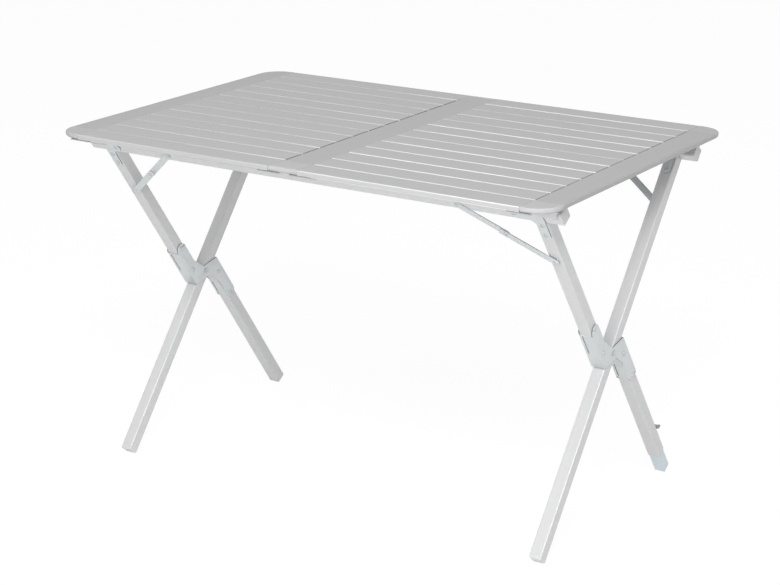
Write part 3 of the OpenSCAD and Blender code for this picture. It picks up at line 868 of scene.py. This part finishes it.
@dataclass
class RollTop:
    """Slat mats, cross bars, caps, ledges and clips."""

    slats: int = 13

    def dress(self, dresser: Dresser) -> None:
        """Give the top its finishes.

        Args:
            dresser: the source of materials.
        """
        for mat in ("left", "right"):
            for number in range(1, self.slats + 1):
                dresser.dress("%s_slat_%d" % (mat, number), TOP_ALUMINIUM, Grain.LENGTH)
        for bar in ("left_end_bar", "centre_bar", "right_end_bar", "slat_ledges"):
            dresser.dress(bar, BAR_ALUMINIUM, Grain.DEPTH)
        for moulding in ("end_bar_caps", "centre_bar_caps"):
            dresser.dress(moulding, CAP_PLASTIC, Grain.LENGTH)
        dresser.dress("rail_clips", LIGHT_PLASTIC, Grain.LENGTH)


@dataclass
class FrameHalf:
    """One flat half of the folding frame."""

    name: str
    grain: Grain
    plane: LeaningPlane
    legs: tuple[str, ...]

    def dress(self, dresser: Dresser) -> None:
        """Give this half its finishes and its steel fittings.

        Args:
            dresser: the source of materials.
        """
        dresser.dress("%s_rail" % self.name, TUBE_ALUMINIUM, Grain.LENGTH)
        dresser.dress("%s_rail_caps" % self.name, LIGHT_PLASTIC, Grain.LENGTH)
        for leg in self.legs:
            dresser.dress(leg, TUBE_ALUMINIUM, self.grain)
        sheared = PressedSteel.edge_on(self.plane.outward())
        for node, rim in (("left_%s_hinge_plates", DARK_RIM_STEEL), ("right_%s_hinge_plates", DARK_RIM_STEEL),
                          ("%s_stay_links", STAY_RIM)):
            PressedSteel(rim).build(dresser, node % self.name, "%s_frame" % self.name, self.grain, sheared)
        RivetWork().half(dresser, self.name, self.plane, self.grain)


@dataclass
class Crossing:
    """Brackets, rivets and pivots where the two halves cross."""

    brackets: tuple[str, str] = ("left_hub_bracket", "right_hub_bracket")

    def dress(self, dresser: Dresser) -> None:
        """Give the crossing its steel fittings.

        Args:
            dresser: the source of materials.
        """
        steel = PressedSteel()
        for node in self.brackets:
            steel.build(dresser, node, "front_frame", Grain.FRONT_LEG, steel.narrow)
        RivetWork().crossing(dresser)


@dataclass
class LockScrew:
    """Wing screw that clamps the sliding foot, with a moulded head. Sizes are in millimetres.

    Attributes:
        base_y: from the upper tube's middle to the base of the knob.
        below_hub: from the crossing down the leg to the screw.
        sides: corners around the stem.
        stem: radius and height of each ring of the stem.
        wing_root: length, width and height of the block that the wings are drawn from.
        wing_level: height of the block's middle.
        wing_steps: how far a wing's end goes out and up in each step, and how its height grows.
        wing_taper: how the width of a wing shrinks in each step.
        wing_round: width of the wings' rounded edges.
        wing_round_steps: faces across a rounded edge.
        smooth_angle: edges sharper than this many degrees stay sharp.
    """

    base_y: float = 67.3
    below_hub: float = 297.0
    sides: int = 32
    stem: Profile = ((3.0, -1.8), (3.0, 0.0), (5.4, 0.0), (6.0, 0.6), (6.0, 6.0), (5.0, 9.6),
                     (3.9, 10.4), (2.4, 10.4), (2.1, 9.8))
    wing_root: Triple = (9.0, 5.6, 8.0)
    wing_level: float = 6.0
    wing_steps: tuple[Triple, ...] = ((5.0, 1.3, 0.95), (4.6, 1.4, 1.12))
    wing_taper: float = 0.9
    wing_round: float = 1.3
    wing_round_steps: int = 3
    smooth_angle: float = 45.0

    def build(self, dresser: Dresser) -> None:
        """Model the screw and put it in place of its solid.

        Args:
            dresser: the source of materials.
        """
        stem = Bench.turned("lock_screw_stem", self.stem, self.sides)
        piece = Bench.joined("lock_screw_knob", [stem, self._wings()])
        piece.data.transform(Facing.IN.at(FRONT_PLANE, (LEG_X, self.base_y, -UPPER_RUN - self.below_hub)))
        dresser.coat(piece, Grain.FRONT_LEG, KNOB_PLASTIC)
        Bench.smooth(piece, self.smooth_angle)
        Bench.hang(piece, "lock_screw", "knob_plastic", "foot_lock_screw")

    def _wings(self) -> bpy.types.Object:
        """Draw two flared wings out of one block.

        Returns:
            The wings, in millimetres.
        """
        bpy.ops.object.select_all(action="DESELECT")
        bpy.ops.mesh.primitive_cube_add(size=1.0, location=(0.0, 0.0, self.wing_level))
        wings = bpy.context.active_object
        wings.scale = self.wing_root
        bpy.ops.object.transform_apply(location=True, rotation=True, scale=True)
        for side in SIDES:
            for out, up, grow in self.wing_steps:
                self._pick_end(wings, side)
                bpy.ops.mesh.extrude_region_move(TRANSFORM_OT_translate={"value": (side * out, 0.0, up)})
                middle = self._pick_end(wings, side)
                bpy.ops.transform.resize(value=(1.0, self.wing_taper, grow), center_override=tuple(middle))
        bpy.ops.object.mode_set(mode="OBJECT")
        Bench.break_edges(wings, self.wing_round, self.wing_round_steps)
        return wings

    @staticmethod
    def _pick_end(wings: bpy.types.Object, side: int) -> Vector:
        """Select the end face on one side, in edit mode.

        Args:
            wings: the wings.
            side: -1 for the left end, 1 for the right end.
        Returns:
            The middle of the face.
        """
        if wings.mode != "OBJECT":
            bpy.ops.object.mode_set(mode="OBJECT")
        end = max(wings.data.polygons, key=lambda face: side * face.center.x)
        for group in (wings.data.polygons, wings.data.edges, wings.data.vertices):
            for element in group:
                element.select = False
        end.select = True
        middle = end.center.copy()
        bpy.ops.object.mode_set(mode="EDIT")
        bpy.ops.mesh.select_mode(type="FACE")
        return middle


@dataclass
class Feet:
    """Plain feet, the sliding foot and its lock screw."""

    screw: LockScrew = field(default_factory=LockScrew)

    def dress(self, dresser: Dresser) -> None:
        """Give the feet their finishes.

        Args:
            dresser: the source of materials.
        """
        dresser.dress("front_feet", LIGHT_PLASTIC, Grain.BACK_LEG)
        dresser.dress("left_back_foot", LIGHT_PLASTIC, Grain.FRONT_LEG)
        dresser.dress("adjustable_foot", FOOT_PLASTIC, Grain.FRONT_LEG)
        self.screw.build(dresser)


@dataclass
class PhotoCamera:
    """Camera at the photograph's place, for a frame of 780 by 585 pixels. Angles are in radians."""

    place: Triple = (2.0390, -3.0991, 1.5561)
    yaw: float = 0.5826388
    pitch: float = 0.3116370
    roll: float = 0.0042298
    focal_pixels: float = 1969.646
    frame_width: float = 780.0
    sensor_width: float = 36.0

    def build(self) -> None:
        """Create the camera and make it the scene's own."""
        level = Vector((math.cos(self.yaw), math.sin(self.yaw), 0.0))
        ahead = Vector((-math.sin(self.yaw) * math.cos(self.pitch),
                        math.cos(self.yaw) * math.cos(self.pitch), -math.sin(self.pitch)))
        down = ahead.cross(level)
        right = math.cos(self.roll) * level + math.sin(self.roll) * down
        up = math.sin(self.roll) * level - math.cos(self.roll) * down
        lens = bpy.data.cameras.new("photo camera")
        lens.sensor_fit = "HORIZONTAL"
        lens.sensor_width = self.sensor_width
        lens.lens = self.focal_pixels / self.frame_width * self.sensor_width
        camera = bpy.data.objects.new("photo camera", lens)
        axes = Matrix((right, up, -ahead)).transposed().to_4x4()
        camera.matrix_world = Matrix.Translation(self.place) @ axes
        bpy.context.scene.collection.objects.link(camera)
        bpy.context.scene.camera = camera


@dataclass(frozen=True)
class SoftLamp:
    """Rectangular lamp that faces a point: sizes in metres, power in watts."""

    name: str
    place: Triple
    aim: Triple
    size: tuple[float, float]
    power: float

    def build(self) -> None:
        """Hang the lamp."""
        lamp = bpy.data.lights.new(self.name, "AREA")
        lamp.shape = "RECTANGLE"
        lamp.size, lamp.size_y = self.size
        lamp.energy = self.power
        holder = bpy.data.objects.new(self.name, lamp)
        holder.location = self.place
        holder.rotation_euler = (Vector(self.aim) - Vector(self.place)).to_track_quat("-Z", "Y").to_euler()
        bpy.context.scene.collection.objects.link(holder)


@dataclass
class Studio:
    """White floor and surroundings with soft lamps. Sizes are in metres.

    Attributes:
        floor_radius: radius of the floor.
        floor_sides: corners of the floor.
        floor_drop: how far the floor lies under the feet, so that no faces fall together.
        floor_grey: brightness of the floor's surface.
        floor_glow: strength of the floor's white, for the rays that see it directly.
        shadow_share: share of the floor's surface, with its shadows, in what is seen.
        ambient: strength of the surrounding light at the left and at the right.
        lamps: the lamps.
    """

    floor_radius: float = 16.0
    floor_sides: int = 96
    floor_drop: float = 0.0004
    floor_grey: float = 0.93
    floor_glow: float = 1.04
    shadow_share: float = 0.10
    ambient: tuple[float, float] = (0.17, 0.66)
    lamps: tuple[SoftLamp, ...] = (
        SoftLamp("soft key light", (1.75, -2.7, 3.35), (0.0, 0.0, 0.5), (1.4, 1.1), 91.0),
        SoftLamp("soft edge light", (-1.05, -0.9, 3.3), (0.2, 0.0, 0.69), (1.0, 1.3), 11.0),
        SoftLamp("low fill light", (0.9, -3.0, 1.3), (0.1, 0.0, 0.5), (1.2, 0.8), 26.0))

    def build(self) -> None:
        """Make the floor, the world and the lamps."""
        self._floor()
        self._world()
        for lamp in self.lamps:
            lamp.build()

    @staticmethod
    def _seen_directly(board: NodeBoard) -> bpy.types.NodeSocket:
        """Tell the rays that see the white from those that it lights.

        Args:
            board: board of the floor's or the world's nodes.
        Returns:
            A socket that is 1 for camera, glossy and transmission rays.
        """
        path = board.add("ShaderNodeLightPath")
        either = board.math("MAXIMUM", path.outputs["Is Camera Ray"], path.outputs["Is Glossy Ray"])
        return board.math("MAXIMUM", either, path.outputs["Is Transmission Ray"])

    def _floor(self) -> None:
        """Lay a white floor that keeps a soft shadow."""
        bpy.ops.object.select_all(action="DESELECT")
        bpy.ops.mesh.primitive_circle_add(vertices=self.floor_sides, radius=self.floor_radius,
                                          fill_type="NGON", location=(0.0, 0.0, -self.floor_drop))
        floor = bpy.context.active_object
        floor.name = "floor"
        material = bpy.data.materials.new("white floor")
        material.use_nodes = True
        nodes = material.node_tree.nodes
        nodes.remove(nodes["Principled BSDF"])
        board = NodeBoard(material.node_tree)
        seen = self._seen_directly(board)
        matt = board.add("ShaderNodeBsdfDiffuse", None, Color=(self.floor_grey,) * 3 + (1.0,))
        glow = board.add("ShaderNodeEmission", None, Color=WHITE, Strength=self.floor_glow)
        mix = board.add("ShaderNodeMixShader", None,
                        Fac=board.math("MULTIPLY", seen, 1.0 - self.shadow_share))
        board.feed(mix.inputs[1], matt.outputs[0])
        board.feed(mix.inputs[2], glow.outputs[0])
        board.feed(nodes["Material Output"].inputs["Surface"], mix.outputs[0])
        floor.data.materials.append(material)

    def _world(self) -> None:
        """Surround the table with white that lights it at a plain strength, more from the right."""
        world = bpy.data.worlds.new("white studio")
        bpy.context.scene.world = world
        world.use_nodes = True
        board = NodeBoard(world.node_tree)
        towards = board.axis(board.add("ShaderNodeTexCoord").outputs["Object"], "X")
        soft = board.span(towards, *self.ambient, start=-1.0)
        back = world.node_tree.nodes["Background"]
        board.feed(back.inputs["Color"], WHITE)
        board.feed(back.inputs["Strength"], board.span(self._seen_directly(board), soft, 1.0))


def main() -> None:
    """Dress the table and set up the studio."""
    logging.basicConfig(level=logging.INFO, format="%(message)s")
    bpy.context.scene.view_settings.view_transform = "Standard"
    PhotoCamera().build()
    Studio().build()
    dresser = Dresser(SurfaceGroups())
    RollTop().dress(dresser)
    FrameHalf("front", Grain.FRONT_LEG, FRONT_PLANE,
              ("left_upper_leg", "right_upper_leg", "left_lower_leg", "right_lower_leg")).dress(dresser)
    FrameHalf("back", Grain.BACK_LEG, BACK_PLANE, ("left_cross_leg", "right_cross_leg")).dress(dresser)
    Crossing().dress(dresser)
    Feet().dress(dresser)


if __name__ == "__main__":
    main()
